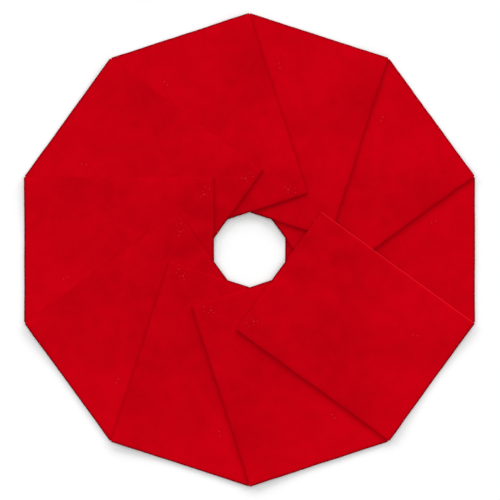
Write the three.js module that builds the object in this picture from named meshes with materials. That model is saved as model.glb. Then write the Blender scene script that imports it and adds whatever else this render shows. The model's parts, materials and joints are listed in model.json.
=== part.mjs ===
// A tree skirt: ten equal rectangles of felt laid like a fan round the trunk, each lapped over the
// one before and the last one lapped over the first, so that their outer edges make a ten-sided
// rim and their inner edges a ten-sided trunk hole. Nine laps are bonded by a tape hidden between
// the two layers. The tenth lap is the slit, which three hook tabs hold shut.
//
// Millimetres, +Z up. The origin is on the floor at the middle of the trunk hole, and +Y points at
// a corner of the rim. A panel's own frame has +X outwards along its length and +Y across it,
// anticlockwise, so its leading edge, the one that shows, is the edge at the lowest Y.
import * as THREE from 'three';

// Driving dimensions.
const PANELS = 10;
const RIM_ACROSS_CORNERS = 914.4;
const HOLE_ACROSS_CORNERS = 144;
const FELT_THICKNESS = 2;
const CORNER_NOTCH = 0.8; // what a panel's side edge stays short of the rim's corner
const CLEARANCE = 0.3; // between faces that touch
const TAPE_THICKNESS = 0.6;
const TAPE_WIDTH = 12;
const TAPE_INSET = 3; // from the leading edge to the tape
const TAPE_INNER_END = 8; // from the panel's inner edge to the tape's end
const TAPE_OUTER_END = 32; // from the panel's outer edge to the tape's end
const TAB_COUNT = 3;
const TAB_LENGTH = 36;
const TAB_WIDTH = 20;
const TAB_INSET = 12; // from the slit's free edge to a tab
const TAB_SPACING = 58;
const FIRST_TAB = 252; // from the middle of the trunk hole to the first tab's middle
const DRAPE_RUN = 36; // how far past a lower panel's edge the felt above takes to come down

// Sizes that follow from them.
const STEP = (2 * Math.PI) / PANELS;
const PANEL_OUTER = (RIM_ACROSS_CORNERS / 2) * Math.cos(STEP / 2);
const PANEL_INNER = (HOLE_ACROSS_CORNERS / 2) * Math.cos(STEP / 2);
const HALF_WIDTH = (RIM_ACROSS_CORNERS / 2) * Math.sin(STEP / 2) - CORNER_NOTCH;
const LAYER_GAP = TAPE_THICKNESS + 2 * CLEARANCE;
const LAYER_RISE = FELT_THICKNESS + LAYER_GAP;

const SAME_PLACE = 0.02; // a point this near a crease counts as on it
const ORIGIN = new THREE.Vector2();

const FELT_RED = { color: 0xc10012, roughness: 0.95, metalness: 0 };
const TAPE_WHITE = { color: 0xe6ded2, roughness: 0.6, metalness: 0 };
const HOOK_RED = { color: 0x8c0a16, roughness: 0.7, metalness: 0 };

// The angles from panel k to each panel under it, from -PI to PI. Panel 1 is the lowest.
function turnsToLowerPanels(k) {
  const turns = [];
  for (let lower = 1; lower < k; lower += 1) {
    const turn = (lower - k) * STEP;
    turns.push(turn < -Math.PI + STEP / 2 ? turn + 2 * Math.PI : turn);
  }
  return turns;
}

// How fully a lower panel holds up the felt at a point: 1 over it, and down to 0 past its edge.
function support(point, turn) {
  const own = point.clone().rotateAround(ORIGIN, -turn);
  const past = Math.max(PANEL_INNER - own.x, own.x - PANEL_OUTER, Math.abs(own.y) - HALF_WIDTH, 0);
  return Math.max(0, 1 - past / DRAPE_RUN);
}

// The height of panel k's underside.
function underside(k) {
  const turns = turnsToLowerPanels(k);
  return (point) => turns.reduce((sum, turn) => sum + support(point, turn), 0) * LAYER_RISE;
}

// A straight crease: the line where point . normal is offset, its normal turned with a panel.
function crease(x, y, offset, turn) {
  return { normal: new THREE.Vector2(x, y).rotateAround(ORIGIN, turn), offset };
}

// The creases of panel k: where the felt starts to fall and where it lands, past the inner edge
// and past the side edge of each lower panel, and the fold between those two slopes.
function creasesOver(k) {
  return turnsToLowerPanels(k).flatMap((turn) => {
    const side = turn < 0 ? 1 : -1;
    return [
      crease(1, 0, PANEL_INNER, turn),
      crease(1, 0, PANEL_INNER - DRAPE_RUN, turn),
      crease(0, side, HALF_WIDTH, turn),
      crease(0, side, HALF_WIDTH + DRAPE_RUN, turn),
      crease(1, side, PANEL_INNER + HALF_WIDTH, turn),
    ];
  });
}

// Cuts every cell that a crease crosses in two. Cells are anticlockwise lists of point numbers.
function cutCells(points, cells, { normal, offset }) {
  const sides = points.map((point) => {
    const distance = (point.dot(normal) - offset) / normal.length();
    return Math.abs(distance) < SAME_PLACE ? 0 : distance;
  });
  const cutOf = new Map();
  const cutEdge = (a, b) => {
    const key = a < b ? `${a} ${b}` : `${b} ${a}`;
    if (!cutOf.has(key)) {
      const share = sides[a] / (sides[a] - sides[b]);
      cutOf.set(key, points.push(points[a].clone().lerp(points[b], share)) - 1);
      sides.push(0);
    }
    return cutOf.get(key);
  };
  return cells.flatMap((cell) => {
    const front = [];
    const back = [];
    cell.forEach((a, i) => {
      const b = cell[(i + 1) % cell.length];
      if (sides[a] >= 0) front.push(a);
      if (sides[a] <= 0) back.push(a);
      if (sides[a] * sides[b] < 0) {
        const cut = cutEdge(a, b);
        front.push(cut);
        back.push(cut);
      }
    });
    const parts = [];
    if (front.some((a) => sides[a] > 0)) parts.push(front);
    if (back.some((a) => sides[a] < 0)) parts.push(back);
    return parts;
  });
}

function areaOf(a, b, c) {
  return b.clone().sub(a).cross(c.clone().sub(a)) / 2;
}

// A cell as a fan of triangles, from the corner that keeps the smallest of them largest.
function fan(points, cell) {
  let best = { smallest: -Infinity, triangles: [] };
  cell.forEach((apex, i) => {
    const triangles = [];
    for (let n = 1; n < cell.length - 1; n += 1) {
      triangles.push([apex, cell[(i + n) % cell.length], cell[(i + n + 1) % cell.length]]);
    }
    const areas = triangles.map(([a, b, c]) => areaOf(points[a], points[b], points[c]));
    const smallest = Math.min(...areas);
    if (smallest > best.smallest) best = { smallest, triangles };
  });
  return best.triangles;
}

// A sheet of even thickness over a rectangle, its underside at heightAt(point), folded on straight
// creases and flat between them.
function creasedSheet([xLow, xHigh], [yLow, yHigh], creases, heightAt, thickness) {
  const points = [
    new THREE.Vector2(xLow, yLow),
    new THREE.Vector2(xHigh, yLow),
    new THREE.Vector2(xHigh, yHigh),
    new THREE.Vector2(xLow, yHigh),
  ];
  const cells = creases.reduce((all, line) => cutCells(points, all, line), [[0, 1, 2, 3]]);

  const heights = points.map(heightAt);
  const position = [
    ...points.flatMap((p, i) => [p.x, p.y, heights[i]]),
    ...points.flatMap((p, i) => [p.x, p.y, heights[i] + thickness]),
  ];
  const toTop = points.length;
  const index = [];
  const edges = new Map();
  for (const cell of cells) {
    for (const [a, b, c] of fan(points, cell)) {
      index.push(a + toTop, b + toTop, c + toTop);
      index.push(a, c, b);
    }
    cell.forEach((a, i) => {
      const b = cell[(i + 1) % cell.length];
      if (edges.has(`${b} ${a}`)) edges.delete(`${b} ${a}`);
      else edges.set(`${a} ${b}`, [a, b]);
    });
  }
  for (const [a, b] of edges.values()) {
    index.push(a, b, b + toTop);
    index.push(a, b + toTop, a + toTop);
  }
  const geometry = new THREE.BufferGeometry();
  geometry.setAttribute('position', new THREE.Float32BufferAttribute(position, 3));
  geometry.setIndex(index);
  geometry.computeVertexNormals();
  return geometry;
}

function named(name, geometry, finish) {
  const mesh = new THREE.Mesh(geometry, new THREE.MeshStandardMaterial(finish));
  mesh.name = name;
  return mesh;
}

function twoDigits(n) {
  return String(n).padStart(2, '0');
}

function feltPanel(k) {
  const xs = [PANEL_INNER, PANEL_OUTER];
  const ys = [-HALF_WIDTH, HALF_WIDTH];
  const geometry = creasedSheet(xs, ys, creasesOver(k), underside(k), FELT_THICKNESS);
  return named(`panel_${twoDigits(k)}`, geometry, FELT_RED);
}

// A thin piece in the gap under panel k, with a clearance to the felt on both sides.
function pieceUnder(k, name, xs, ys, finish) {
  const panelHeight = underside(k);
  const height = (point) => panelHeight(point) - CLEARANCE - TAPE_THICKNESS;
  return named(name, creasedSheet(xs, ys, creasesOver(k), height, TAPE_THICKNESS), finish);
}

// The tape under panel k's leading edge, which bonds it to the panel before.
function seamTape(k) {
  const xs = [PANEL_INNER + TAPE_INNER_END, PANEL_OUTER - TAPE_OUTER_END];
  const near = -HALF_WIDTH + TAPE_INSET;
  return pieceUnder(k, `seam_tape_${twoDigits(k)}`, xs, [near, near + TAPE_WIDTH], TAPE_WHITE);
}

// A hook tab under the last panel's free edge, which grips the felt of the first panel.
function hookTab(n) {
  const middle = FIRST_TAB + (n - 1) * TAB_SPACING;
  const xs = [middle - TAB_LENGTH / 2, middle + TAB_LENGTH / 2];
  const far = HALF_WIDTH - TAB_INSET;
  return pieceUnder(PANELS, `hook_tab_${n}`, xs, [far - TAB_WIDTH, far], HOOK_RED);
}

const skirt = new THREE.Group();
for (let k = 1; k <= PANELS; k += 1) {
  const panel = new THREE.Group();
  panel.rotation.z = (k - 1) * STEP;
  panel.add(feltPanel(k));
  if (k > 1) panel.add(seamTape(k));
  if (k === PANELS) {
    for (let n = 1; n <= TAB_COUNT; n += 1) panel.add(hookTab(n));
  }
  skirt.add(panel);
}

export default skirt;
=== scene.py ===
"""The looks of a lapped felt tree skirt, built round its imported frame.

Metres, +Z up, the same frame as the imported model: the origin is on the floor at the middle of the
trunk hole. A panel's own frame has +X outwards along its length and +Y across it, anticlockwise,
and panel 1's own frame is the skirt's.
"""

import json
import logging
import math
from dataclasses import dataclass
from enum import Enum
from functools import cached_property
from typing import Callable

import bpy
import numpy as np
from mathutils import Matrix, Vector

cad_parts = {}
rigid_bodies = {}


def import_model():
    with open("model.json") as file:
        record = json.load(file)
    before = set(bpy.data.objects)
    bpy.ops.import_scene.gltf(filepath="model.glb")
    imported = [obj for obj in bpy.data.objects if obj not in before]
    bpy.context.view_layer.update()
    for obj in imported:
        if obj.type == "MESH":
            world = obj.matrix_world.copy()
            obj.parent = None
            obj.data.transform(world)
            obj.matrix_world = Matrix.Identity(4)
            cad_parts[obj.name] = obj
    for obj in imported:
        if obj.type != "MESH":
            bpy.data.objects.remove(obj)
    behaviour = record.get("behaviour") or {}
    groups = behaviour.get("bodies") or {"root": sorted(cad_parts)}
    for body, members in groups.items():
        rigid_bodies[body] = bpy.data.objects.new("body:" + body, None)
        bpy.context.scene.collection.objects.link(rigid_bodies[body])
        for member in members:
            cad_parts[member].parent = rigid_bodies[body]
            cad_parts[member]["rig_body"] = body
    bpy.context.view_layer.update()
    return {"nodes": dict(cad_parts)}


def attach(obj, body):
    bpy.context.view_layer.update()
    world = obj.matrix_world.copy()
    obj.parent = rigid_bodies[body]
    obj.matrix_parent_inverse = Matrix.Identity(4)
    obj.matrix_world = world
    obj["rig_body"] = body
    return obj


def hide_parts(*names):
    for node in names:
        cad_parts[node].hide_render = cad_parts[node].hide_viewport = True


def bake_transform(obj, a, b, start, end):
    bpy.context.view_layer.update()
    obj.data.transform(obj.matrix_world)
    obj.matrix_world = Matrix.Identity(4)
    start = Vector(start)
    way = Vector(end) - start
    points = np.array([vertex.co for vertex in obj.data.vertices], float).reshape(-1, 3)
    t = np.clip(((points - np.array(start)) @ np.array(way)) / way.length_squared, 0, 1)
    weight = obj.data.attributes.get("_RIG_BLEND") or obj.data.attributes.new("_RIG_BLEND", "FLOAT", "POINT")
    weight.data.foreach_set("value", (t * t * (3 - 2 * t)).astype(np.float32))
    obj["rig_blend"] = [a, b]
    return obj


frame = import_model()

LOG = logging.getLogger("tree_skirt")
MM = 0.001
REST_POINT = "rest_point"  # each vertex's place in its own sheet's frame, in metres
PAINTED_EDGE_SHADE = "painted_edge_shade"  # 1 at a cut edge given painted shade, 0 away from one
PAINTED_EDGE_HIGHLIGHT = "painted_edge_highlight"  # 1 at a cut edge given a painted highlight, 0 away from one
PATTERN_SHIFT = 0.37  # from one sheet's surface pattern to the next one's, in metres
TINY = 1e-9  # the least length to divide by, in metres

Array = np.ndarray
Colour = tuple[float, float, float, float]
Socket = bpy.types.NodeSocket

WHITE: Colour = (1.0, 1.0, 1.0, 1.0)


class Edge(Enum):
    """The edges of a sheet, by the coordinate across them and the end of it that they stand at."""

    INNER = (0, -1)
    OUTER = (0, 1)
    LEADING = (1, -1)
    TRAILING = (1, 1)


class Face(Enum):
    """Which way a sheet's face looks."""

    UPPER = 1
    UNDER = -1


# Sizes, read from the frame ------------------------------------------------------------------


def turned(points: Array, turn: float) -> Array:
    """Points turned about the trunk hole's axis.

    Args:
        points: Rows of X, Y and Z.
        turn: The angle, anticlockwise, in radians.

    Returns:
        The turned points, as rows.
    """
    c, s = math.cos(turn), math.sin(turn)
    return points @ np.array([[c, s, 0.0], [-s, c, 0.0], [0.0, 0.0, 1.0]])


def own_box(node: str, turn: float) -> tuple[Array, Array]:
    """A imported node's box in the frame of a panel.

    Args:
        node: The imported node's name.
        turn: The panel's angle from +X, in radians.

    Returns:
        The lowest and the highest corner, in metres.
    """
    points = np.array([v.co for v in frame["nodes"][node].data.vertices], float)
    own = turned(points, -turn)
    return own.min(0), own.max(0)


def body_of(node: str) -> str:
    """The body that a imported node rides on."""
    return frame["nodes"][node]["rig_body"]


def ease(share: Array) -> Array:
    """A smooth rise from 0 to 1 as share goes from 0 to 1."""
    share = np.clip(share, 0.0, 1.0)
    return share * share * (3.0 - 2.0 * share)


@dataclass(frozen=True)
class Waves:
    """A soft unevenness, made of long waves in every direction. The seed settles them."""

    height: float
    shortest: float
    longest: float
    seed: int
    count: int = 7

    def at(self, x: Array, y: Array) -> Array:
        """The unevenness at places on a plane.

        Args:
            x: Places along X, in metres.
            y: Places along Y, in metres.

        Returns:
            Values from 0 to the height.
        """
        draw = np.random.default_rng(self.seed)
        total = np.zeros_like(x)
        for _ in range(self.count):
            length = draw.uniform(self.shortest, self.longest)
            way, phase = draw.uniform(0.0, 2.0 * math.pi, 2)
            total += np.sin(2.0 * math.pi * (x * math.cos(way) + y * math.sin(way)) / length + phase)
        return self.height * (0.5 + 0.5 * np.tanh(total / math.sqrt(self.count)))


@dataclass(frozen=True)
class SkirtPlan:
    """The skirt's sizes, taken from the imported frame, and how its layers lie on each other."""

    panels: int
    inner: float
    outer: float
    half_width: float
    felt: float
    rise: float
    nap: float = 0.4 * MM  # how far the felt's soft nap stands above the pressed sheet
    side_run: float = 100.0 * MM  # how far past a lower panel's side the felt over it comes down
    end_run: float = 50.0 * MM  # the same past its ends, where only a short tongue hangs free
    rim_lift: float = 0.7 * MM  # how far the skirt stands off at its rim
    rim_lift_run: float = 65.0 * MM
    unevenness: Waves = Waves(height=0.35 * MM, shortest=0.12, longest=0.34, seed=5)

    @classmethod
    def from_frame(cls) -> "SkirtPlan":
        """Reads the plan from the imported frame: panel 1 lies flat along +X, with panel 2 on it.

        Returns:
            The plan.
        """
        count = sum(name.startswith("panel_") for name in frame["nodes"])
        low, high = own_box("panel_01", 0.0)
        second = own_box("panel_02", 2.0 * math.pi / count)[1]
        return cls(
            panels=count,
            inner=float(low[0]),
            outer=float(high[0]),
            half_width=float(high[1]),
            felt=float(high[2]),
            rise=float(second[2] - high[2]),
        )

    @property
    def loft(self) -> float:
        """The felt's full thickness, nap and all."""
        return self.felt + self.nap

    @property
    def hole_side(self) -> float:
        """The length of one side of the trunk hole, which all the panels' inner edges bound."""
        return 2.0 * self.inner * math.tan(math.pi / self.panels)

    def turn(self, number: int) -> float:
        """The angle of a panel from +X, in radians."""
        return (number - 1) * 2.0 * math.pi / self.panels

    def lower_turns(self, number: int) -> list[float]:
        """The angles from a panel to each panel that lies under it, from -pi to pi."""
        turns = [self.turn(lower) - self.turn(number) for lower in range(1, number)]
        return [math.remainder(turn, 2.0 * math.pi) for turn in turns]

    def support(self, x: Array, y: Array, turn: float) -> Array:
        """How fully a lower panel holds up the felt over it.

        Args:
            x: Places along the upper panel, in its own frame.
            y: Places across the upper panel, in its own frame.
            turn: The angle from the upper panel to the lower one.

        Returns:
            1 over the lower panel, falling to 0 at the run past its side or its end.
        """
        c, s = math.cos(turn), math.sin(turn)
        along, across = x * c + y * s, y * c - x * s
        past_end = np.maximum(np.maximum(self.inner - along, along - self.outer), 0.0)
        past_side = np.maximum(np.abs(across) - self.half_width, 0.0)
        return ease(1.0 - np.hypot(past_end / self.end_run, past_side / self.side_run))

    def rim_share(self, x: Array, y: Array) -> Array:
        """How near the rim places are.

        Args:
            x: Places along a panel, in its own frame.
            y: Places across the panel, in its own frame.

        Returns:
            0 in the body of the skirt, rising to 1 at the rim.
        """
        reach = np.full_like(x, -1.0)
        for number in range(1, self.panels + 1):
            turn = self.turn(number)
            reach = np.maximum(reach, x * math.cos(turn) + y * math.sin(turn))
        return ease(1.0 - (self.outer - reach) / self.rim_lift_run)

    def underside(self, x: Array, y: Array, number: int) -> Array:
        """The height of a panel's underside before its edges settle.

        Args:
            x: Places along the panel, in its own frame.
            y: Places across the panel, in its own frame.
            number: The panel's number.

        Returns:
            Heights above the floor, in metres.
        """
        layers = np.zeros_like(x)
        for turn in self.lower_turns(number):
            layers += self.support(x, y, turn)
        c, s = math.cos(self.turn(number)), math.sin(self.turn(number))
        loose = self.unevenness.at(x * c - y * s, x * s + y * c)
        return self.rise * layers + loose + self.rim_lift * self.rim_share(x, y)

    def bedding(self, x: Array, y: Array, number: int) -> Array:
        """How far places on a panel lie on felt.

        Args:
            x: Places along the panel, in its own frame.
            y: Places across the panel, in its own frame.
            number: The panel's number.

        Returns:
            1 where felt is under them, 0 where the floor is.
        """
        best = np.zeros_like(x)
        for turn in self.lower_turns(number):
            best = np.maximum(best, self.support(x, y, turn))
        return best


# Sheets --------------------------------------------------------------------------------------


@dataclass(frozen=True)
class EdgeShade:
    """How much painted shade darkens the cut at one edge, along a stretch about the middle of the edge."""

    edge: Edge
    share: float
    half_span: float = math.inf
    fade: float = 12.0 * MM  # how far past the stretch the painted shade dies away


@dataclass(frozen=True)
class CutSheet:
    """A rectangle cut from sheet goods, in the frame of the panel that it belongs to."""

    low: tuple[float, float]
    high: tuple[float, float]
    thickness: float
    spacing: float
    close_rows: tuple[float, ...]  # rows of vertices this far from each edge
    corner_radius: float
    round_over: float  # how far from the edge the faces reach the full thickness
    edge_share: tuple[float, float]  # of the full height over and under the middle, at the cut
    stray: float  # how far the cut wanders from a straight line
    seed: int
    # the edges that get painted shade, and how much
    shaded_edges: tuple[EdgeShade, ...] = ()
    shade_reach: float = 2.6 * MM
    highlit: tuple[Edge, ...] = ()  # the edges given a painted highlight
    highlight_reach: float = 1.0 * MM
    wander_lengths: tuple[float, float] = (0.018, 0.11)  # of the cut's shortest and longest waves
    wander_depth: float = 12.0 * MM  # how far in from the cut its wandering is felt

    def lines(self, axis: int) -> Array:
        """The places of the mesh's lines along one coordinate, close together at both edges.

        Args:
            axis: 0 for the lines along X, 1 for those along Y.

        Returns:
            The places, rising.
        """
        close = np.array(self.close_rows)
        first, last = self.low[axis] + close[-1], self.high[axis] - close[-1]
        count = max(3, round((last - first) / self.spacing) + 1)
        middle = np.linspace(first, last, count)
        return np.concatenate([self.low[axis] + close[:-1], middle, self.high[axis] - close[-2::-1]])

    @cached_property
    def grid(self) -> tuple[Array, Array]:
        """The straight-cut places of all the mesh's columns and rows."""
        x, y = np.meshgrid(self.lines(0), self.lines(1), indexing="ij")
        return x, y

    def distance(self, edge: Edge) -> Array:
        """How far each place is from one edge.

        Args:
            edge: The edge.

        Returns:
            The distances, in metres.
        """
        axis, end = edge.value
        place = self.grid[axis]
        return self.high[axis] - place if end > 0 else place - self.low[axis]

    def nearness(self, edge: Edge, reach: float) -> Array:
        """How near each place is to an edge.

        Args:
            edge: The edge.
            reach: The distance over which nearness fades.

        Returns:
            1 at the edge, fading to 0 away from it.
        """
        return np.exp(-((self.distance(edge) / reach) ** 2))

    def cut_masks(self) -> dict[str, Array]:
        """Where painted shade darkens the cuts, and where a painted highlight lightens them.

        Returns:
            A value from 0 to 1 for every vertex, by the mask's name.
        """
        shade_mask, highlit = np.zeros_like(self.grid[0]), np.zeros_like(self.grid[0])
        for rounding_and_shade in self.shaded_edges:
            along = np.abs(self.grid[1 - rounding_and_shade.edge.value[0]])
            stretch = rounding_and_shade.share * (1.0 - ease((along - rounding_and_shade.half_span) / rounding_and_shade.fade))
            shade_mask = np.maximum(shade_mask, stretch * self.nearness(rounding_and_shade.edge, self.shade_reach))
        for edge in self.highlit:
            highlit = np.maximum(highlit, self.nearness(edge, self.highlight_reach))
        return {PAINTED_EDGE_SHADE: np.tile(shade_mask.ravel(), 2), PAINTED_EDGE_HIGHLIGHT: np.tile(highlit.ravel(), 2)}

    @cached_property
    def to_edge(self) -> Array:
        """How far each place is from the nearest edge."""
        return np.minimum.reduce([self.distance(edge) for edge in Edge])

    def offset(self, face: Face) -> Array:
        """How far a face lies above the middle of the sheet, less where its cut edges are worn round.

        Args:
            face: The face.

        Returns:
            Heights, which are below zero for the under face.
        """
        at_cut = self.edge_share[0 if face is Face.UPPER else 1]
        rounding_and_shade = 1.0 - np.clip(self.to_edge / self.round_over, 0.0, 1.0)
        return 0.5 * face.value * self.thickness * (at_cut + (1.0 - at_cut) * np.sqrt(1.0 - rounding_and_shade**2))

    def plan_places(self) -> tuple[Array, Array]:
        """The places in plan, once the corners are rounded and the cuts wander a little.

        Returns:
            Places along X and along Y, in metres.
        """
        places = [place.copy() for place in self.grid]
        for edge in Edge:
            axis, end = edge.value
            along = self.grid[1 - axis]
            hand = Waves(self.stray, *self.wander_lengths, self.seed + 10 * axis + end)
            fade = 1.0 - ease(self.distance(edge) / self.wander_depth)
            places[axis] -= end * hand.at(along, np.zeros_like(along)) * fade
        for end in (Edge.INNER, Edge.OUTER):
            for side in (Edge.LEADING, Edge.TRAILING):
                self.round_corner(places, end, side)
        return places[0], places[1]

    def round_corner(self, places: list[Array], end: Edge, side: Edge) -> None:
        """Draws the places near one corner in to a round.

        Args:
            places: The places along X and along Y, which this changes.
            end: The edge across X that meets in the corner.
            side: The edge across Y that meets in the corner.
        """
        near = [np.clip(self.corner_radius - self.distance(edge), 0.0, None) for edge in (end, side)]
        square = np.maximum(near[0], near[1])
        circle = np.hypot(near[0], near[1])
        excess = np.where(square > 0.0, 1.0 - square / np.maximum(circle, TINY), 0.0)
        for axis, edge in enumerate((end, side)):
            places[axis] -= edge.value[1] * near[axis] * excess

    def faces(self) -> list[list[int]]:
        """The four-sided faces of the closed sheet.

        Returns:
            The vertices of each: the upper face's, the under face's and the cut edges'.
        """
        rows, columns = self.grid[0].shape
        index = np.arange(rows * columns).reshape(rows, columns)
        under = rows * columns
        corners = (index[:-1, :-1], index[1:, :-1], index[1:, 1:], index[:-1, 1:])
        upper = np.stack(corners, -1).reshape(-1, 4)
        loop = np.concatenate([index[:-1, 0], index[-1, :-1], index[:0:-1, -1], index[0, :0:-1]])
        onward = np.roll(loop, -1)
        wall = np.stack([loop + under, onward + under, onward, loop], -1)
        return np.concatenate([upper, upper[:, ::-1] + under, wall]).tolist()

    def build(
        self, name: str, turn: float, middle: Callable[[Array, Array], Array], pattern: float
    ) -> bpy.types.Object:
        """Makes the closed sheet as a mesh object, in the skirt's frame.

        Args:
            name: The object's name.
            turn: The angle of the frame that the sheet was cut in.
            middle: Gives the height of the middle of the sheet, from places along X and Y.
            pattern: Where in its material's pattern this sheet was cut, in metres.

        Returns:
            The mesh object, with its place of rest and its cut edges stored on it.
        """
        x, y = self.plan_places()
        height = middle(x, y)
        points, rests = [], []
        for face in Face:
            off = self.offset(face)
            points.append(np.stack([x, y, height + off], -1).reshape(-1, 3))
            rests.append(np.stack([x, y, pattern + off], -1).reshape(-1, 3))
        own, rest = np.concatenate(points), np.concatenate(rests)
        return new_piece(name, turned(own, turn), self.faces(), rest, self.cut_masks())


def new_piece(
    name: str, points: Array, faces: list, rest: Array, masks: dict[str, Array]
) -> bpy.types.Object:
    """Makes a smooth-shaded mesh object in the skirt's frame.

    Args:
        name: The object's name.
        points: The places of its vertices, in metres.
        faces: The vertices of each face.
        rest: Each vertex's place in its material's pattern, in metres.
        masks: Values from 0 to 1 to store on the vertices, by name.

    Returns:
        The object.
    """
    mesh = bpy.data.meshes.new(name)
    mesh.from_pydata(points, [], faces)
    mesh.shade_smooth()
    place = mesh.attributes.new(REST_POINT, "FLOAT_VECTOR", "POINT")
    place.data.foreach_set("vector", rest.astype(np.float32).ravel())
    for mask, values in masks.items():
        stored = mesh.attributes.new(mask, "FLOAT", "POINT")
        stored.data.foreach_set("value", values.astype(np.float32))
    mesh.update()
    piece = bpy.data.objects.new(name, mesh)
    bpy.context.scene.collection.objects.link(piece)
    return piece


# Shader node groups --------------------------------------------------------------------------


class Nodes:
    """A short way to lay and link the nodes of one tree."""

    def __init__(self, tree: bpy.types.NodeTree) -> None:
        """Works on one node tree."""
        self.tree = tree

    def fill(self, node: bpy.types.Node, inputs: dict) -> bpy.types.Node:
        """Sets or links a node's inputs.

        Args:
            node: The node.
            inputs: Socket name or number to a value, or to the output socket that feeds it.

        Returns:
            The same node.
        """
        for socket, value in inputs.items():
            if isinstance(value, Socket):
                self.tree.links.new(value, node.inputs[socket])
            else:
                node.inputs[socket].default_value = value
        return node

    def add(self, kind: str, inputs: dict | None = None, **settings) -> bpy.types.Node:
        """Adds a node.

        Args:
            kind: The node's type name.
            inputs: What its sockets hold or are fed by.
            **settings: The node's own properties.

        Returns:
            The new node.
        """
        node = self.tree.nodes.new(kind)
        for name, value in settings.items():
            setattr(node, name, value)
        return self.fill(node, inputs or {})

    def sum(self, *terms: Socket | float) -> Socket:
        """The sum of values.

        Args:
            *terms: The values.

        Returns:
            The sum's socket.
        """
        total = terms[0]
        for term in terms[1:]:
            total = self.add("ShaderNodeMath", {0: total, 1: term}, operation="ADD").outputs[0]
        return total

    def times(self, value: Socket, factor: Socket | float) -> Socket:
        """A value times a factor."""
        return self.add("ShaderNodeMath", {0: value, 1: factor}, operation="MULTIPLY").outputs[0]

    def most(self, one: Socket, other: Socket) -> Socket:
        """The larger of two values."""
        return self.add("ShaderNodeMath", {0: one, 1: other}, operation="MAXIMUM").outputs[0]

    def below(self, value: Socket, limit: Socket) -> Socket:
        """1 where a value is under a limit, else 0."""
        return self.add("ShaderNodeMath", {0: value, 1: limit}, operation="LESS_THAN").outputs[0]

    def spread(self, value: Socket, low: float, high: float, at_low: float, at_high: float) -> Socket:
        """A value carried smoothly from one range to another, and held at its ends."""
        inputs = {0: value, 1: low, 2: high, 3: at_low, 4: at_high}
        return self.add("ShaderNodeMapRange", inputs, interpolation_type="SMOOTHSTEP").outputs[0]

    def mix(self, share: Socket, first: Socket | Colour, second: Socket | Colour) -> Socket:
        """A colour between two: the first where share is 0, the second where it is 1."""
        inputs = {0: share, 6: first, 7: second}  # 6 and 7, and output 2, are its sockets for colours
        return self.add("ShaderNodeMix", inputs, data_type="RGBA").outputs[2]

    def noise(self, vector: Socket, scale: Socket | float, detail: float, roughness: float) -> Socket:
        """A noise pattern's value, from 0 to 1."""
        inputs = {"Vector": vector, "Scale": scale, "Detail": detail, "Roughness": roughness}
        return self.add("ShaderNodeTexNoise", inputs).outputs["Fac"]

    def drawn_out(self, vector: Socket, angle: float, stretch: tuple[float, float, float]) -> Socket:
        """A place turned about Z and then scaled along each axis."""
        spun = self.add("ShaderNodeMapping", {"Vector": vector, "Rotation": (0.0, 0.0, angle)})
        return self.add("ShaderNodeMapping", {"Vector": spun.outputs[0], "Scale": stretch}).outputs[0]

    def stored(self, name: str, output: str) -> Socket:
        """A value that is stored on the mesh."""
        return self.add("ShaderNodeAttribute", attribute_name=name).outputs[output]

    def group(self, tree: bpy.types.NodeTree, inputs: dict) -> Socket:
        """Places a node group and gives its first output."""
        return self.fill(self.add("ShaderNodeGroup", node_tree=tree), inputs).outputs[0]

    def bump(self, height: Socket, strength: float, depth: float) -> Socket:
        """A normal raised by a height pattern."""
        inputs = {"Height": height, "Strength": strength, "Distance": depth}
        return self.add("ShaderNodeBump", inputs).outputs["Normal"]


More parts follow.
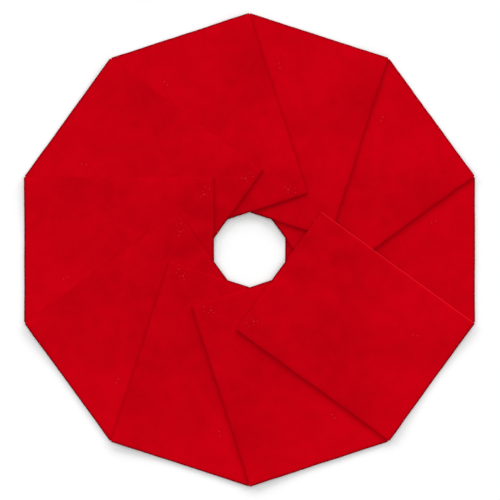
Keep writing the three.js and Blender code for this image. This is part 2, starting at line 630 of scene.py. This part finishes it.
@dataclass(frozen=True)
class NodeGroups:
    """The surface effects that the skirt's finishes share, each built once."""

    fibre_mat: bpy.types.NodeTree
    clouding: bpy.types.NodeTree
    lint: bpy.types.NodeTree
    patch: bpy.types.NodeTree

    @classmethod
    def build(cls) -> "NodeGroups":
        """Builds all the groups."""
        return cls(cls.make_fibre_mat(), cls.make_clouding(), cls.make_lint(), cls.make_patch())

    @staticmethod
    def start(name: str, inputs: tuple[str, ...], output: str) -> tuple[Nodes, dict, Callable]:
        """Starts a node group with a vector input, some value inputs and one value output.

        Args:
            name: The group's name.
            inputs: The names of its value inputs.
            output: The name of its output.

        Returns:
            The node helper, the inputs' sockets by name, and a function that feeds the output.
        """
        tree = bpy.data.node_groups.new(name, "ShaderNodeTree")
        tree.interface.new_socket("Vector", in_out="INPUT", socket_type="NodeSocketVector")
        for socket in inputs:
            tree.interface.new_socket(socket, in_out="INPUT", socket_type="NodeSocketFloat")
        tree.interface.new_socket(output, in_out="OUTPUT", socket_type="NodeSocketFloat")
        nodes = Nodes(tree)
        given = nodes.add("NodeGroupInput").outputs
        made = nodes.add("NodeGroupOutput")
        return nodes, {s: given[s] for s in ("Vector", *inputs)}, lambda v: nodes.fill(made, {output: v})

    @classmethod
    def make_fibre_mat(cls) -> bpy.types.NodeTree:
        """Short fibres pressed together in every direction.

        Returns:
            The group, which gives their height from 0 to 1.
        """
        nodes, given, give = cls.start("fibre_mat", ("Fibres Per Metre",), "Height")
        directions = 4
        first_turn = 0.3  # of the step from one direction to the next, so that none lies along X
        stretch = (0.16, 1.0, 0.16)
        foot, crest = 0.40, 0.62  # the noise at a fibre's foot and at its crest
        strands = []
        for i in range(directions):
            way = nodes.drawn_out(given["Vector"], math.pi * (i + first_turn) / directions, stretch)
            wave = nodes.noise(way, given["Fibres Per Metre"], 2.0, 0.5)
            strands.append(nodes.spread(wave, foot, crest, 0.0, 1.0 / directions))
        give(nodes.sum(*strands))
        return nodes.tree

    @classmethod
    def make_clouding(cls) -> bpy.types.NodeTree:
        """The uneven density of a dyed mat.

        Returns:
            The group, which gives soft clouds from -1 to 1.
        """
        nodes, given, give = cls.start("clouding", ("Clouds Per Metre",), "Value")
        broad_scale = 0.24  # of the small clouds' scale
        broad_share, small_share = 0.34, 0.6
        lift = 0.03  # brings the middle of the mix back to a half
        broad_clouds = nodes.times(given["Clouds Per Metre"], broad_scale)
        broad = nodes.noise(given["Vector"], broad_clouds, 1.0, 0.5)
        small = nodes.noise(given["Vector"], given["Clouds Per Metre"], 4.0, 0.6)
        mixed = nodes.sum(nodes.times(broad, broad_share), nodes.times(small, small_share), lift)
        give(nodes.spread(mixed, 0.30, 0.70, -1.0, 1.0))
        return nodes.tree

    @classmethod
    def make_lint(cls) -> bpy.types.NodeTree:
        """Sparse flecks of lint caught in the nap.

        Returns:
            The group, which gives a mask that is 1 along the middle of each fleck.
        """
        nodes, given, give = cls.start("lint", ("Cells Per Metre", "Share", "Width"), "Mask")
        angles = (0.35, 1.75)  # the two ways that the flecks lie, in radians
        stretch = (0.20, 1.0, 1.0)
        masks = []
        for angle in angles:
            way = nodes.drawn_out(given["Vector"], angle, stretch)
            cells = nodes.add(
                "ShaderNodeTexVoronoi",
                {"Vector": way, "Scale": given["Cells Per Metre"]},
                voronoi_dimensions="2D",
            )
            near = nodes.add(
                "ShaderNodeMapRange",
                {0: cells.outputs["Distance"], 1: given["Width"], 2: 0.0, 3: 0.0, 4: 1.0},
            ).outputs[0]
            drawn = nodes.add("ShaderNodeSeparateColor", {0: cells.outputs["Color"]}).outputs[0]
            masks.append(nodes.times(near, nodes.below(drawn, given["Share"])))
        give(nodes.most(*masks))
        return nodes.tree

    @classmethod
    def make_patch(cls) -> bpy.types.NodeTree:
        """A soft round patch about a place on a sheet.

        Returns:
            The group, which gives a mask that is 1 at the patch's middle.
        """
        nodes, given, give = cls.start("patch", ("Middle X", "Middle Y", "Reach"), "Mask")
        place = nodes.add("ShaderNodeSeparateXYZ", {0: given["Vector"]}).outputs
        squares = []
        for axis in ("X", "Y"):
            off = nodes.sum(place[axis], nodes.times(given["Middle " + axis], -1.0))
            squares.append(nodes.times(off, off))
        away = nodes.add("ShaderNodeMath", {0: nodes.sum(*squares)}, operation="SQRT").outputs[0]
        mask = nodes.add(
            "ShaderNodeMapRange",
            {0: away, 1: 0.0, 2: given["Reach"], 3: 1.0, 4: 0.0},
            interpolation_type="SMOOTHSTEP",
        )
        give(mask.outputs[0])
        return nodes.tree


# Finishes ------------------------------------------------------------------------------------


def new_material(name: str) -> tuple[bpy.types.Material, Nodes, bpy.types.Node]:
    """Starts a material.

    Args:
        name: The material's name.

    Returns:
        The material, its node helper and its shader.
    """
    material = bpy.data.materials.new(name)
    material.use_nodes = True
    return material, Nodes(material.node_tree), material.node_tree.nodes["Principled BSDF"]


@dataclass(frozen=True)
class Patch:
    """A soft round patch on a panel, in the panel's own frame."""

    middle: tuple[float, float]
    reach: float
    share: float

    def mask(self, n: Nodes, groups: NodeGroups, rest: Socket) -> Socket:
        """The patch's mask, times its share.

        Args:
            n: The material's node helper.
            groups: The shared node groups.
            rest: The place on the panel.

        Returns:
            The mask's socket.
        """
        inputs = {
            "Vector": rest,
            "Middle X": self.middle[0],
            "Middle Y": self.middle[1],
            "Reach": self.reach,
        }
        return n.times(n.group(groups.patch, inputs), self.share)


@dataclass(frozen=True)
class FeltFinish:
    """Pressed felt: a matt mat of dyed fibres, cloudy and brighter towards the rim, with painted shade along
    its cut edges and a painted highlight along its trailing edges.
    """

    inner: float
    outer: float
    name: str = "red_felt"
    full_dye: Colour = (0.560, 0.0003, 0.0058, 1.0)
    thin_dye: Colour = (0.405, 0.0001, 0.0040, 1.0)
    # the colour of the painted shade along the cut edges
    painted_edge_shade: Colour = (0.10, 0.0001, 0.0024, 1.0)
    # the colour of the painted highlight along the trailing edges
    painted_edge_highlight: Colour = (0.74, 0.030, 0.036, 1.0)
    lint_colour: Colour = (0.72, 0.16, 0.17, 1.0)
    clouds_per_metre: float = 38.0
    fibres_per_metre: float = 1500.0
    lint_per_metre: float = 300.0
    lint_width: float = 0.13
    nap_depth: float = 0.16 * MM
    sheen_tint: Colour = (1.0, 0.01, 0.03, 1.0)
    least_dye: float = 0.18  # how much dye shows before clouds, mat and rim add to it
    cloud_dye: float = 0.22
    mat_dye: float = 0.28
    # how much brighter the colour gets towards the rim
    rimward_brightening: float = 0.34
    painted_edge_shade_share: float = 0.85
    painted_edge_highlight_share: float = 0.3
    lint_share: float = 0.4
    lint_height: float = 0.6  # of the fibre mat's height
    shades: tuple[Patch, ...] = (
        Patch(middle=(0.29, 0.10), reach=0.13, share=0.22),
        Patch(middle=(0.32, -0.12), reach=0.11, share=-0.28),
        Patch(middle=(0.19, -0.12), reach=0.07, share=0.18),
    )
    lint_patches: tuple[Patch, ...] = (
        Patch(middle=(0.085, -0.112), reach=0.016, share=0.60),
        Patch(middle=(0.351, 0.059), reach=0.015, share=0.50),
    )

    def density(self, n: Nodes, groups: NodeGroups, rest: Socket, mat: Socket) -> Socket:
        """How much dye shows at each place, with the colour brighter towards the rim.

        Args:
            n: The material's node helper.
            groups: The shared node groups.
            rest: The place on the panel.
            mat: The height of the fibre mat.

        Returns:
            From 0, thin dye, to 1, full dye.
        """
        cloud = n.group(groups.clouding, {"Vector": rest, "Clouds Per Metre": self.clouds_per_metre})
        along = n.add("ShaderNodeSeparateXYZ", {0: rest}).outputs["X"]
        outward = n.add("ShaderNodeMapRange", {0: along, 1: self.inner, 2: self.outer}).outputs[0]
        shades = [patch.mask(n, groups, rest) for patch in self.shades]
        grain = n.sum(n.times(cloud, self.cloud_dye), n.times(mat, self.mat_dye))
        return n.sum(grain, n.times(outward, self.rimward_brightening), *shades, self.least_dye)

    def build(self, groups: NodeGroups) -> bpy.types.Material:
        """Makes the material.

        Args:
            groups: The shared node groups.

        Returns:
            The felt material.
        """
        material, n, shader = new_material(self.name)
        rest = n.stored(REST_POINT, "Vector")
        mat = n.group(groups.fibre_mat, {"Vector": rest, "Fibres Per Metre": self.fibres_per_metre})
        share = n.sum(*(patch.mask(n, groups, rest) for patch in self.lint_patches))
        lint = {
            "Vector": rest,
            "Cells Per Metre": self.lint_per_metre,
            "Share": share,
            "Width": self.lint_width,
        }
        fleck = n.group(groups.lint, lint)
        dyed = n.mix(self.density(n, groups, rest, mat), self.thin_dye, self.full_dye)
        # painted shade: the cut edges darken, most at the rim and along the trunk hole
        rounding_and_shade = n.mix(n.times(n.stored(PAINTED_EDGE_SHADE, "Fac"), self.painted_edge_shade_share), dyed, self.painted_edge_shade)
        # painted highlight: the trailing edges lighten
        highlit = n.times(n.stored(PAINTED_EDGE_HIGHLIGHT, "Fac"), self.painted_edge_highlight_share)
        highlit_colour = n.mix(highlit, rounding_and_shade, self.painted_edge_highlight)
        n.fill(
            shader,
            {
                "Base Color": n.mix(n.times(fleck, self.lint_share), highlit_colour, self.lint_colour),
                "Roughness": n.spread(mat, 0.0, 1.0, 0.98, 0.88),
                "Normal": n.bump(n.sum(mat, n.times(fleck, self.lint_height)), 0.5, self.nap_depth),
                "Specular IOR Level": 0.0,
                "Sheen Weight": 0.10,
                "Sheen Roughness": 0.5,
                "Sheen Tint": self.sheen_tint,
            },
        )
        return material


@dataclass(frozen=True)
class BondFinish:
    """Melted bonding tape: a thin milky web of fused fibre, tinted by the felt that it wetted."""

    name: str = "bonding_web"
    web: Colour = (0.52, 0.34, 0.32, 1.0)
    wetted: Colour = (0.38, 0.03, 0.04, 1.0)
    fibres_per_metre: float = 700.0
    blots_per_metre: float = 90.0
    blot_share: float = 0.3
    web_depth: float = 0.2 * MM

    def build(self, groups: NodeGroups) -> bpy.types.Material:
        """Makes the material.

        Args:
            groups: The shared node groups.

        Returns:
            The bonding tape's material.
        """
        material, n, shader = new_material(self.name)
        rest = n.stored(REST_POINT, "Vector")
        web = n.group(groups.fibre_mat, {"Vector": rest, "Fibres Per Metre": self.fibres_per_metre})
        blot = n.group(groups.clouding, {"Vector": rest, "Clouds Per Metre": self.blots_per_metre})
        n.fill(
            shader,
            {
                "Base Color": n.mix(n.sum(web, n.times(blot, self.blot_share)), self.wetted, self.web),
                "Roughness": n.spread(web, 0.0, 1.0, 0.35, 0.6),
                "Normal": n.bump(web, 0.7, self.web_depth),
                "Specular IOR Level": 0.3,
            },
        )
        return material


@dataclass(frozen=True)
class HookFinish:
    """Moulded hooks and their woven ground, in nylon dyed to go with the felt."""

    name: str = "hook_nylon"
    light: Colour = (0.36, 0.006, 0.012, 1.0)
    dark: Colour = (0.20, 0.003, 0.008, 1.0)
    thread_scale: float = 85.0
    fuzz_per_metre: float = 2600.0
    thread_depth: float = 0.12 * MM
    weave_share: float = 0.7
    fuzz_share: float = 0.3

    def build(self, groups: NodeGroups) -> bpy.types.Material:
        """Makes the material.

        Args:
            groups: The shared node groups.

        Returns:
            The hook tape's material.
        """
        material, n, shader = new_material(self.name)
        rest = n.stored(REST_POINT, "Vector")
        threads = []
        for direction in ("X", "Y"):
            wave = n.add(
                "ShaderNodeTexWave",
                {"Vector": rest, "Scale": self.thread_scale, "Distortion": 0.4},
                bands_direction=direction,
            )
            threads.append(wave.outputs["Fac"])
        weave = n.times(threads[0], threads[1])
        fuzz = n.group(groups.fibre_mat, {"Vector": rest, "Fibres Per Metre": self.fuzz_per_metre})
        lightness = n.sum(n.times(weave, self.weave_share), n.times(fuzz, self.fuzz_share))
        n.fill(
            shader,
            {
                "Base Color": n.mix(lightness, self.dark, self.light),
                "Roughness": n.spread(fuzz, 0.0, 1.0, 0.55, 0.38),
                "Normal": n.bump(weave, 0.6, self.thread_depth),
                "Specular IOR Level": 0.4,
            },
        )
        return material


@dataclass(frozen=True)
class FloorFinish:
    """A plain pale floor."""

    name: str = "pale_floor"
    colour: Colour = (0.9, 0.9, 0.9, 1.0)

    def build(self) -> bpy.types.Material:
        """Makes the material.

        Returns:
            The floor's material.
        """
        material, n, shader = new_material(self.name)
        n.fill(shader, {"Base Color": self.colour, "Roughness": 0.95, "Specular IOR Level": 0.0})
        return material


# Pieces --------------------------------------------------------------------------------------


@dataclass(frozen=True)
class FeltPanel:
    """One felt panel, laid over the panels before it."""

    plan: SkirtPlan
    number: int
    edge_sink: float = 0.3 * MM  # how far the edges settle towards the felt under them
    sink_run: float = 9.0 * MM
    bond_width: float = 15.0 * MM  # the strip at the leading edge that stays on the panel below
    bend_end: float = 61.0 * MM  # past this distance from the leading edge, only its own body counts

    @property
    def node(self) -> str:
        """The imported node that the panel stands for."""
        return f"panel_{self.number:02d}"

    @cached_property
    def cut(self) -> CutSheet:
        """The panel's flat cut.

        Returns:
            The sheet, in the panel's own frame.
        """
        return CutSheet(
            low=(self.plan.inner, -self.plan.half_width),
            high=(self.plan.outer, self.plan.half_width),
            thickness=self.plan.loft,
            spacing=5.5 * MM,
            close_rows=tuple(d * MM for d in (0.0, 0.2, 0.5, 1.0, 2.0, 3.5, 6.0, 9.0)),
            corner_radius=2.0 * MM,
            round_over=3.0 * MM,
            edge_share=(0.45, 0.8),
            stray=0.5 * MM,
            seed=100 * self.number,
            # painted shade along the cut edges: full at the rim and along the trunk hole, light elsewhere
            shaded_edges=(
                EdgeShade(Edge.INNER, 0.15),
                EdgeShade(Edge.INNER, 1.0, half_span=self.plan.hole_side / 2.0),
                EdgeShade(Edge.OUTER, 1.0),
                EdgeShade(Edge.LEADING, 0.25),
            ),
            # a painted highlight along the trailing edge
            highlit=(Edge.TRAILING,),
        )

    def middle(self, x: Array, y: Array) -> Array:
        """The height of the middle of the felt, with its edges settled.

        Args:
            x: Places along the panel, in its own frame.
            y: Places across the panel, in its own frame.

        Returns:
            Heights above the floor, in metres.
        """
        sink = self.edge_sink * (1.0 - ease(self.cut.to_edge / self.sink_run))
        settled = sink * self.plan.bedding(x, y, self.number)
        return self.plan.underside(x, y, self.number) - settled + 0.5 * self.plan.loft

    def build(self, finish: bpy.types.Material) -> bpy.types.Object:
        """Makes the panel, dresses it and joins it to its bodies.

        Args:
            finish: The felt material.

        Returns:
            The panel's object.
        """
        name = f"felt_panel_{self.number:02d}"
        panel = self.cut.build(name, self.plan.turn(self.number), self.middle, 0.0)
        panel.data.materials.append(finish)
        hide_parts(self.node)
        self.join(panel)
        return panel

    def join(self, panel: bpy.types.Object) -> None:
        """Makes the panel move with its body, bending past its bond if the panel below has another.

        Args:
            panel: The panel's object.
        """
        own = body_of(self.node)
        if self.number == 1 or body_of(f"panel_{self.number - 1:02d}") == own:
            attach(panel, own)
            return
        lead = -self.plan.half_width
        places = np.array([[0.0, lead + self.bond_width, 0.0], [0.0, lead + self.bend_end, 0.0]])
        start, end = turned(places, self.plan.turn(self.number))
        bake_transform(panel, body_of(f"panel_{self.number - 1:02d}"), own, start=start, end=end)


@dataclass(frozen=True)
class SeamTape:
    """The bonding tape under a panel's leading edge."""

    plan: SkirtPlan
    upper: int  # the number of the panel that it holds to the one below
    thickness: float = 0.30 * MM
    clearance: float = 0.06 * MM

    @property
    def node(self) -> str:
        """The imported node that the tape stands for."""
        return f"seam_tape_{self.upper:02d}"

    def middle(self, x: Array, y: Array) -> Array:
        """The height of the middle of the tape, which lies close on the panel below."""
        gap = self.plan.rise - self.plan.loft
        return self.plan.underside(x, y, self.upper) - gap + self.clearance + 0.5 * self.thickness

    def build(self, finish: bpy.types.Material) -> bpy.types.Object:
        """Makes the tape, dresses it and makes it ride on the panel below.

        Args:
            finish: The bonding tape's material.

        Returns:
            The tape's object.
        """
        turn = self.plan.turn(self.upper)
        low, high = own_box(self.node, turn)
        cut = CutSheet(
            low=(float(low[0]), float(low[1])),
            high=(float(high[0]), float(high[1])),
            thickness=self.thickness,
            spacing=6.0 * MM,
            close_rows=tuple(d * MM for d in (0.0, 0.3, 1.0, 3.0)),
            corner_radius=1.0 * MM,
            round_over=0.3 * MM,
            edge_share=(0.4, 0.4),
            stray=0.6 * MM,
            seed=2000 + 100 * self.upper,
        )
        pattern = PATTERN_SHIFT * (20 + self.upper)
        tape = cut.build(f"bonding_tape_{self.upper:02d}", turn, self.middle, pattern)
        tape.data.materials.append(finish)
        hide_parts(self.node)
        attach(tape, body_of(self.node))
        return tape


@dataclass(frozen=True)
class HookTab:
    """A tab of hook tape under the last panel's free edge: a woven ground and a field of hooks."""

    plan: SkirtPlan
    number: int
    ground: float = 0.30 * MM
    glue_line: float = 0.08 * MM
    hook_height: float = 0.42 * MM
    hook_wire: float = 0.11 * MM
    pitch: float = 1.5 * MM
    selvedge: float = 1.6 * MM
    hook_rings: int = 7
    hook_sides: int = 5
    root: float = 0.3  # how far under the ground's middle the hooks' feet stand, of its thickness

    @property
    def node(self) -> str:
        """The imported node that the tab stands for."""
        return f"hook_tab_{self.number}"

    def middle(self, x: Array, y: Array) -> Array:
        """The height of the middle of the woven ground, close under the last panel."""
        return self.plan.underside(x, y, self.plan.panels) - self.glue_line - 0.5 * self.ground

    @cached_property
    def hook(self) -> Array:
        """One hook's vertices, ring by ring from its foot to its tip, hanging from the origin.

        Returns:
            Rows of X, Y and Z.
        """
        run = np.linspace(0.0, 1.0, self.hook_rings)
        shank = 0.25  # the share of the wire's run that goes straight down
        crown = 0.72  # the share at which the hook hangs lowest
        reach, curl = 0.55, 0.9  # how far out it goes, of its height, and how far round, of half a turn
        tip_rise = 0.3  # how far the tip comes up again, of the height
        foot_width, taper = 1.15, 0.55
        bent = curl * math.pi * np.clip(run - shank, 0.0, None) / (1.0 - shank)
        out = reach * self.hook_height * np.sin(bent)
        drop = self.hook_height * np.sin(0.5 * math.pi * np.minimum(run / crown, 1.0))
        drop -= tip_rise * self.hook_height * ease((run - crown) / (1.0 - crown))
        wire = self.hook_wire * (foot_width - taper * run)
        around = np.linspace(0.0, 2.0 * math.pi, self.hook_sides, endpoint=False)
        x = out[:, None] + wire[:, None] * np.cos(around)
        y = wire[:, None] * np.sin(around)
        z = -drop[:, None] - 0.5 * wire[:, None] * np.cos(around) * run[:, None]
        return np.stack([x, y, z], -1).reshape(-1, 3)

    @cached_property
    def hook_faces(self) -> list[list[int]]:
        """One hook's faces: its sides, foot and tip.

        Returns:
            The vertices of each face.
        """
        rings, sides = self.hook_rings, self.hook_sides
        faces = [list(range(sides)), [(rings - 1) * sides + s for s in reversed(range(sides))]]
        for ring in range(rings - 1):
            for s in range(sides):
                a, b = ring * sides + s, ring * sides + (s + 1) % sides
                faces.append([a, a + sides, b + sides, b])
        return faces

    def hooks(self, low: Array, high: Array, turn: float) -> bpy.types.Object:
        """Makes the field of hooks, which lean one way and the other by turns.

        Args:
            low: The tab's lowest corner in the last panel's frame.
            high: The tab's highest corner.
            turn: The last panel's angle.

        Returns:
            The hooks' object.
        """
        rows = np.arange(low[0] + self.selvedge, high[0] - self.selvedge, self.pitch)
        columns = np.arange(low[1] + self.selvedge, high[1] - self.selvedge, self.pitch)
        points, faces = [], []
        for i, x in enumerate(rows):
            feet = self.middle(np.full_like(columns, x), columns) - self.root * self.ground
            for j, (y, foot) in enumerate(zip(columns, feet)):
                lean = 1.0 if (i + j) % 2 else -1.0
                start = len(points) * len(self.hook)
                points.append(self.hook * np.array([lean, lean, 1.0]) + np.array([x, y, foot]))
                faces += [[start + v for v in face] for face in self.hook_faces]
        own = np.concatenate(points)
        name = f"hook_field_{self.number}"
        return new_piece(name, turned(own, turn), faces, own, {})

    def build(self, finish: bpy.types.Material) -> bpy.types.Object:
        """Makes the tab and its hooks, dresses them and makes them ride on the last panel.

        Args:
            finish: The hook tape's material.

        Returns:
            The tab's woven ground.
        """
        turn = self.plan.turn(self.plan.panels)
        low, high = own_box(self.node, turn)
        cut = CutSheet(
            low=(float(low[0]), float(low[1])),
            high=(float(high[0]), float(high[1])),
            thickness=self.ground,
            spacing=3.0 * MM,
            close_rows=tuple(d * MM for d in (0.0, 0.15, 0.5, 1.2)),
            corner_radius=1.5 * MM,
            round_over=0.2 * MM,
            edge_share=(0.5, 0.5),
            stray=0.15 * MM,
            seed=4000 + 100 * self.number,
        )
        base = cut.build(f"hook_ground_{self.number}", turn, self.middle, PATTERN_SHIFT * 40)
        field = self.hooks(low, high, turn)
        for piece in (base, field):
            piece.data.materials.append(finish)
            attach(piece, body_of(self.node))
        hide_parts(self.node)
        return base


@dataclass(frozen=True)
class Skirt:
    """The whole skirt: lapped felt panels, the tapes that bond them, and the tabs at the slit."""

    plan: SkirtPlan

    def build(self, groups: NodeGroups) -> list[bpy.types.Object]:
        """Builds every piece.

        Args:
            groups: The shared node groups.

        Returns:
            The pieces, lowest panel first.
        """
        finishes = (FeltFinish(self.plan.inner, self.plan.outer), BondFinish(), HookFinish())
        felt, bond, hook = (finish.build(groups) for finish in finishes)
        tabs = sum(name.startswith("hook_tab_") for name in frame["nodes"])
        pieces = [FeltPanel(self.plan, n).build(felt) for n in range(1, self.plan.panels + 1)]
        pieces += [SeamTape(self.plan, n).build(bond) for n in range(2, self.plan.panels + 1)]
        pieces += [HookTab(self.plan, n).build(hook) for n in range(1, tabs + 1)]
        return pieces


@dataclass(frozen=True)
class Studio:
    """A pale floor, soft light from the skirt's +Y side, and a camera straight above."""

    floor_size: float = 60.0
    view_width: float = 0.9655
    view_middle: tuple[float, float] = (0.8 * MM, -0.4 * MM)
    lens: float = 85.0
    sensor: float = 36.0
    sky: float = 0.75
    backdrop: float = 1.0  # what shows past the floor
    key_power: float = 4.95  # of all the lamps together
    key_height: float = math.radians(14.0)  # how high the lamps stand above the floor
    key_spread: float = math.radians(16.0)  # how wide each lamp looks, which softens its shadows
    key_fan: tuple[float, ...] = tuple(math.radians(a) for a in (-51.0, -17.0, 17.0, 51.0))

    def build(self) -> None:
        """Makes the floor, the lights and the camera."""
        self.lay_floor()
        self.light()
        self.place_camera()

    def lay_floor(self) -> None:
        """Lays the floor at the skirt's underside."""
        half = 0.5 * self.floor_size
        corners = [(-half, -half, 0.0), (half, -half, 0.0), (half, half, 0.0), (-half, half, 0.0)]
        mesh = bpy.data.meshes.new("floor")
        mesh.from_pydata(corners, [], [(0, 1, 2, 3)])
        mesh.materials.append(FloorFinish().build())
        floor = bpy.data.objects.new("floor", mesh)
        bpy.context.scene.collection.objects.link(floor)
        LOG.info("floor")

    def light(self) -> None:
        """Lights the skirt with an even pale sky and a low, wide fan of soft lamps."""
        world = bpy.data.worlds.new("studio_sky")
        world.use_nodes = True
        n = Nodes(world.node_tree)
        sky = n.fill(world.node_tree.nodes["Background"], {"Color": WHITE, "Strength": self.sky})
        backdrop = n.add("ShaderNodeBackground", {"Color": WHITE, "Strength": self.backdrop})
        seen = n.add("ShaderNodeLightPath").outputs["Is Camera Ray"]
        both = n.add("ShaderNodeMixShader", {0: seen, 1: sky.outputs[0], 2: backdrop.outputs[0]})
        n.fill(world.node_tree.nodes["World Output"], {"Surface": both.outputs[0]})
        bpy.context.scene.world = world
        for number, swing in enumerate(self.key_fan, 1):
            lamp = bpy.data.lights.new(f"soft_key_{number}", "SUN")
            lamp.energy = self.key_power / len(self.key_fan)
            lamp.angle = self.key_spread
            key = bpy.data.objects.new(lamp.name, lamp)
            key.rotation_euler = (self.key_height - 0.5 * math.pi, 0.0, swing)
            bpy.context.scene.collection.objects.link(key)

    def place_camera(self) -> None:
        """Places the camera straight above the trunk hole, with +Y at the top of its view."""
        lens = bpy.data.cameras.new("above")
        lens.lens, lens.sensor_width = self.lens, self.sensor
        camera = bpy.data.objects.new("above", lens)
        camera.location = (*self.view_middle, self.view_width * self.lens / self.sensor)
        bpy.context.scene.collection.objects.link(camera)
        bpy.context.scene.camera = camera
        bpy.context.scene.view_settings.view_transform = "Standard"


def main() -> None:
    """Builds the studio and the skirt."""
    logging.basicConfig(level=logging.INFO, format="%(name)s: %(message)s")
    Studio().build()
    Skirt(SkirtPlan.from_frame()).build(NodeGroups.build())


if __name__ == "__main__":
    main()
